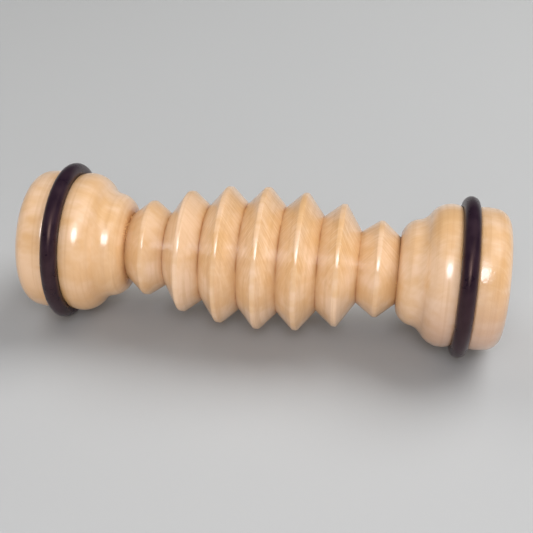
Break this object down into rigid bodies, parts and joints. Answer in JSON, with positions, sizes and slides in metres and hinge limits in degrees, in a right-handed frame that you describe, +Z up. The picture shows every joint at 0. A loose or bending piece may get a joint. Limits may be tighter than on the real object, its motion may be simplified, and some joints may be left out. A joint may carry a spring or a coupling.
{
  "type": "foot massage roller",
  "caption": "Turned hardwood roller for massaging the sole of the foot: a ridged barrel between rounded end knobs, with a rubber grip ring seated round each knob.",
  "frame": {"origin": "on the floor under the middle of the roller, which lies on its rings", "axes": "+X along the roller's axis, +Z up, +Y across the roller"},
  "size_m": [0.207, 0.0688, 0.0689],
  "materials": {
    "lacquered_hardwood": "pale, fine-grained hardwood under a clear satin lacquer",
    "ring_rubber": "smooth moulded rubber, very dark plum-brown, slight sheen"
  },
  "bodies": {
    "root": {"turned_roller": "lacquered_hardwood", "left_grip_ring": "ring_rubber", "right_grip_ring": "ring_rubber"}
  },
  "joints": []
}
